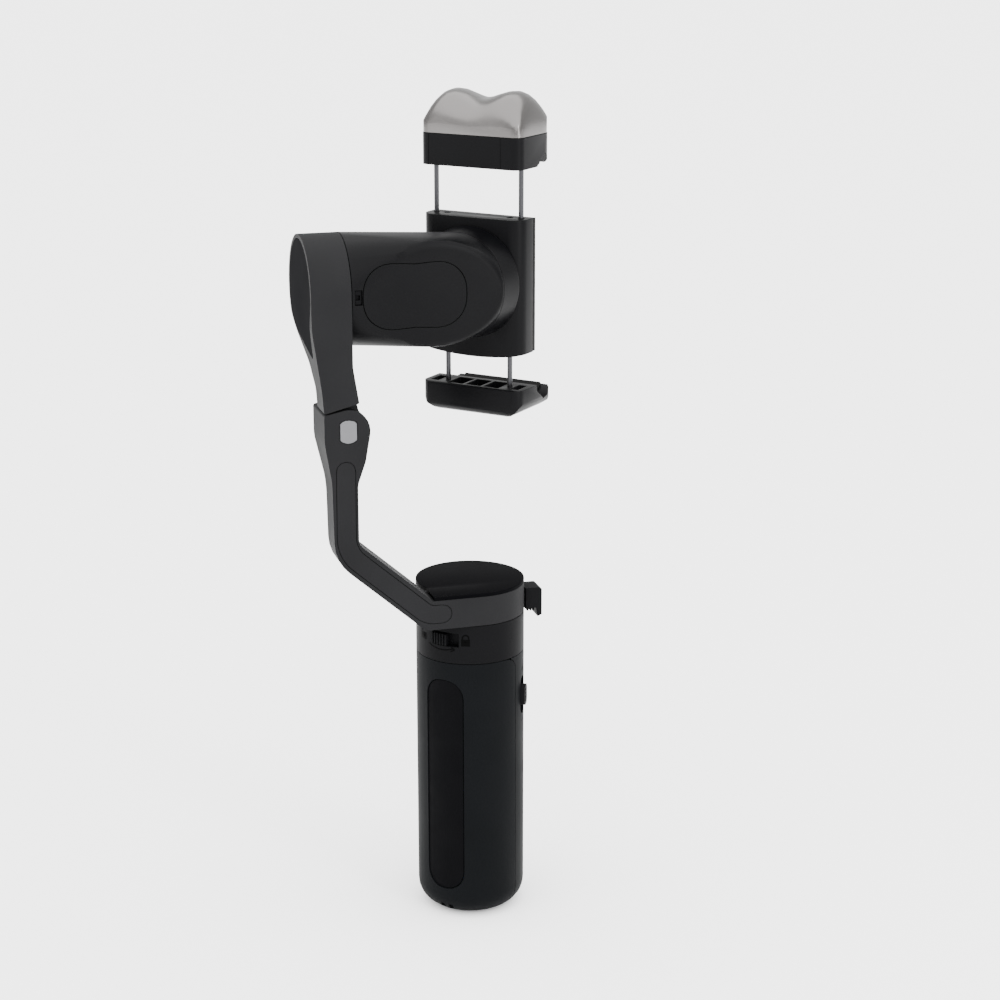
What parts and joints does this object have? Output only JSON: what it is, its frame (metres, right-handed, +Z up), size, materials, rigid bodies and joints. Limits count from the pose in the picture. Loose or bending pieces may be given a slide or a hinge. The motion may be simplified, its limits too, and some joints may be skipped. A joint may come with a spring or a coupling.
{
  "type": "phone gimbal stabilizer",
  "caption": "Folding handheld three-axis phone gimbal: round handle, hinged angled arm, tilt and roll motors, spring clamp with rods and rack-driven jaws.",
  "frame": {"origin": "centre of the handle's base, on the pan axis, where the tripod thread opens", "axes": "+Z up the handle and pan axis; -Y towards the control panel and the phone's screen; +X to the left of someone facing the back"},
  "size_m": [0.078, 0.0835, 0.302],
  "materials": {
    "grip_plastic": "fine-textured, slightly bluish dark grey grip shell",
    "arm_plastic": "smooth matt charcoal, painted look",
    "black_plastic": "satin near-black",
    "rubber": "matt soft rubber",
    "satin_metal": "satin silver",
    "steel": "turned steel",
    "brass": "turned brass",
    "circuit_board": "solder-masked circuit board",
    "copper": "enamelled copper windings",
    "cell_wrap": "shrink-wrapped cell",
    "record_red": "moulded red"
  },
  "bodies": {
    "handle": {"front_shell": "grip_plastic", "rear_shell": "grip_plastic", "grip_pad": "rubber", "collar": "black_plastic", "base_cap": "black_plastic", "tripod_insert": "brass", "inner_frame": "arm_plastic", "battery_cell": "cell_wrap", "control_board": "circuit_board", "control_panel": "black_plastic", "joystick_base": "black_plastic", "usb_port": "steel", "pan_stator": "copper", "pan_bearing": "steel"},
    "stick_yoke": {"joystick_yoke": "steel"},
    "stick": {"joystick": "rubber"},
    "record": {"record_button": "record_red"},
    "mode": {"mode_button": "black_plastic"},
    "side": {"side_button": "black_plastic"},
    "zoom": {"zoom_slider": "black_plastic"},
    "lock": {"lock_slider": "black_plastic"},
    "pan_body": {"lower_arm": "arm_plastic", "pan_cover": "rubber", "arm_inlay": "arm_plastic", "storage_latch": "black_plastic", "pan_bell": "steel", "pan_shaft": "steel", "hinge_pin": "steel", "hinge_cap": "satin_metal"},
    "fold_body": {"upper_arm": "arm_plastic", "upper_arm_cover": "arm_plastic", "tilt_stator": "copper", "tilt_bearing": "steel"},
    "tilt_body": {"roll_arm": "black_plastic", "roll_arm_cover": "black_plastic", "arm_port": "steel", "tilt_bell": "steel", "tilt_shaft": "steel", "roll_stator": "copper", "roll_bearing": "steel"},
    "roll_body": {"roll_hub": "black_plastic", "roll_shaft": "steel", "clamp_block": "black_plastic", "clamp_cover": "black_plastic", "clamp_pad": "rubber", "clamp_spring_left": "steel", "clamp_spring_right": "steel"},
    "pinion": {"clamp_pinion": "brass"},
    "upper_grip": {"upper_jaw": "black_plastic", "upper_jaw_cap": "satin_metal", "upper_jaw_pad": "rubber", "upper_rod_left": "steel", "upper_rod_right": "steel", "upper_carriage": "steel"},
    "lower_grip": {"lower_jaw": "black_plastic", "lower_jaw_pad": "rubber", "lower_rod_left": "steel", "lower_rod_right": "steel", "lower_carriage": "steel"}
  },
  "joints": [
    {"name": "pan", "type": "hinge", "parent": "handle", "child": "pan_body", "pos_m": [0, 0, 0.1151], "axis": [0, 0, 1], "range_deg": [-160, 160]},
    {"name": "fold", "type": "hinge", "parent": "pan_body", "child": "fold_body", "pos_m": [0.03415, 0.03415, 0.1901], "axis": [0.7071, -0.7071, 0], "range_deg": [0, 45]},
    {"name": "tilt", "type": "hinge", "parent": "fold_body", "child": "tilt_body", "pos_m": [0, 0, 0.2363], "axis": [0.7071, 0.7071, 0], "range_deg": [-160, 160]},
    {"name": "roll", "type": "hinge", "parent": "tilt_body", "child": "roll_body", "pos_m": [0, 0, 0.2363], "axis": [0, 1, 0], "range_deg": [-160, 160]},
    {"name": "upper_jaw_slide", "type": "slide", "parent": "roll_body", "child": "upper_grip", "axis": [0, 0, 1], "range_m": [-0.01, 0.005]},
    {"name": "lower_jaw_slide", "type": "slide", "parent": "roll_body", "child": "lower_grip", "axis": [0, 0, 1], "range_m": [-0.005, 0.01]},
    {"name": "pinion_spin", "type": "hinge", "parent": "roll_body", "child": "pinion", "pos_m": [0, -0.0077, 0.2363], "axis": [0, -1, 0], "range_deg": [-140, 70]},
    {"name": "joystick_up_down", "type": "hinge", "parent": "handle", "child": "stick_yoke", "pos_m": [0, -0.014, 0.086], "axis": [1, 0, 0], "range_deg": [-9, 9], "stiffness_Nm_per_rad": 0.02},
    {"name": "joystick_side", "type": "hinge", "parent": "stick_yoke", "child": "stick", "pos_m": [0, -0.014, 0.086], "axis": [0, 0, 1], "range_deg": [-9, 9], "stiffness_Nm_per_rad": 0.02},
    {"name": "record_press", "type": "slide", "parent": "handle", "child": "record", "axis": [0, 1, 0], "range_m": [0, 0.0008], "stiffness_N_per_m": 400},
    {"name": "mode_press", "type": "slide", "parent": "handle", "child": "mode", "axis": [0, 1, 0], "range_m": [0, 0.0008], "stiffness_N_per_m": 400},
    {"name": "side_press", "type": "slide", "parent": "handle", "child": "side", "axis": [-0.9613, 0.2756, 0], "range_m": [0, 0.0008], "stiffness_N_per_m": 400},
    {"name": "zoom_slide", "type": "slide", "parent": "handle", "child": "zoom", "axis": [0, 0, 1], "range_m": [-0.003, 0.003], "stiffness_N_per_m": 150},
    {"name": "pan_lock", "type": "hinge", "parent": "handle", "child": "lock", "pos_m": [0, 0, 0.1095], "axis": [0, 0, 1], "range_deg": [0, 11]}
  ],
  "couplings": [
    {"joint": "lower_jaw_slide", "follows": "upper_jaw_slide", "ratio": -1},
    {"joint": "pinion_spin", "follows": "upper_jaw_slide", "rad_per_m": 238.1}
  ]
}
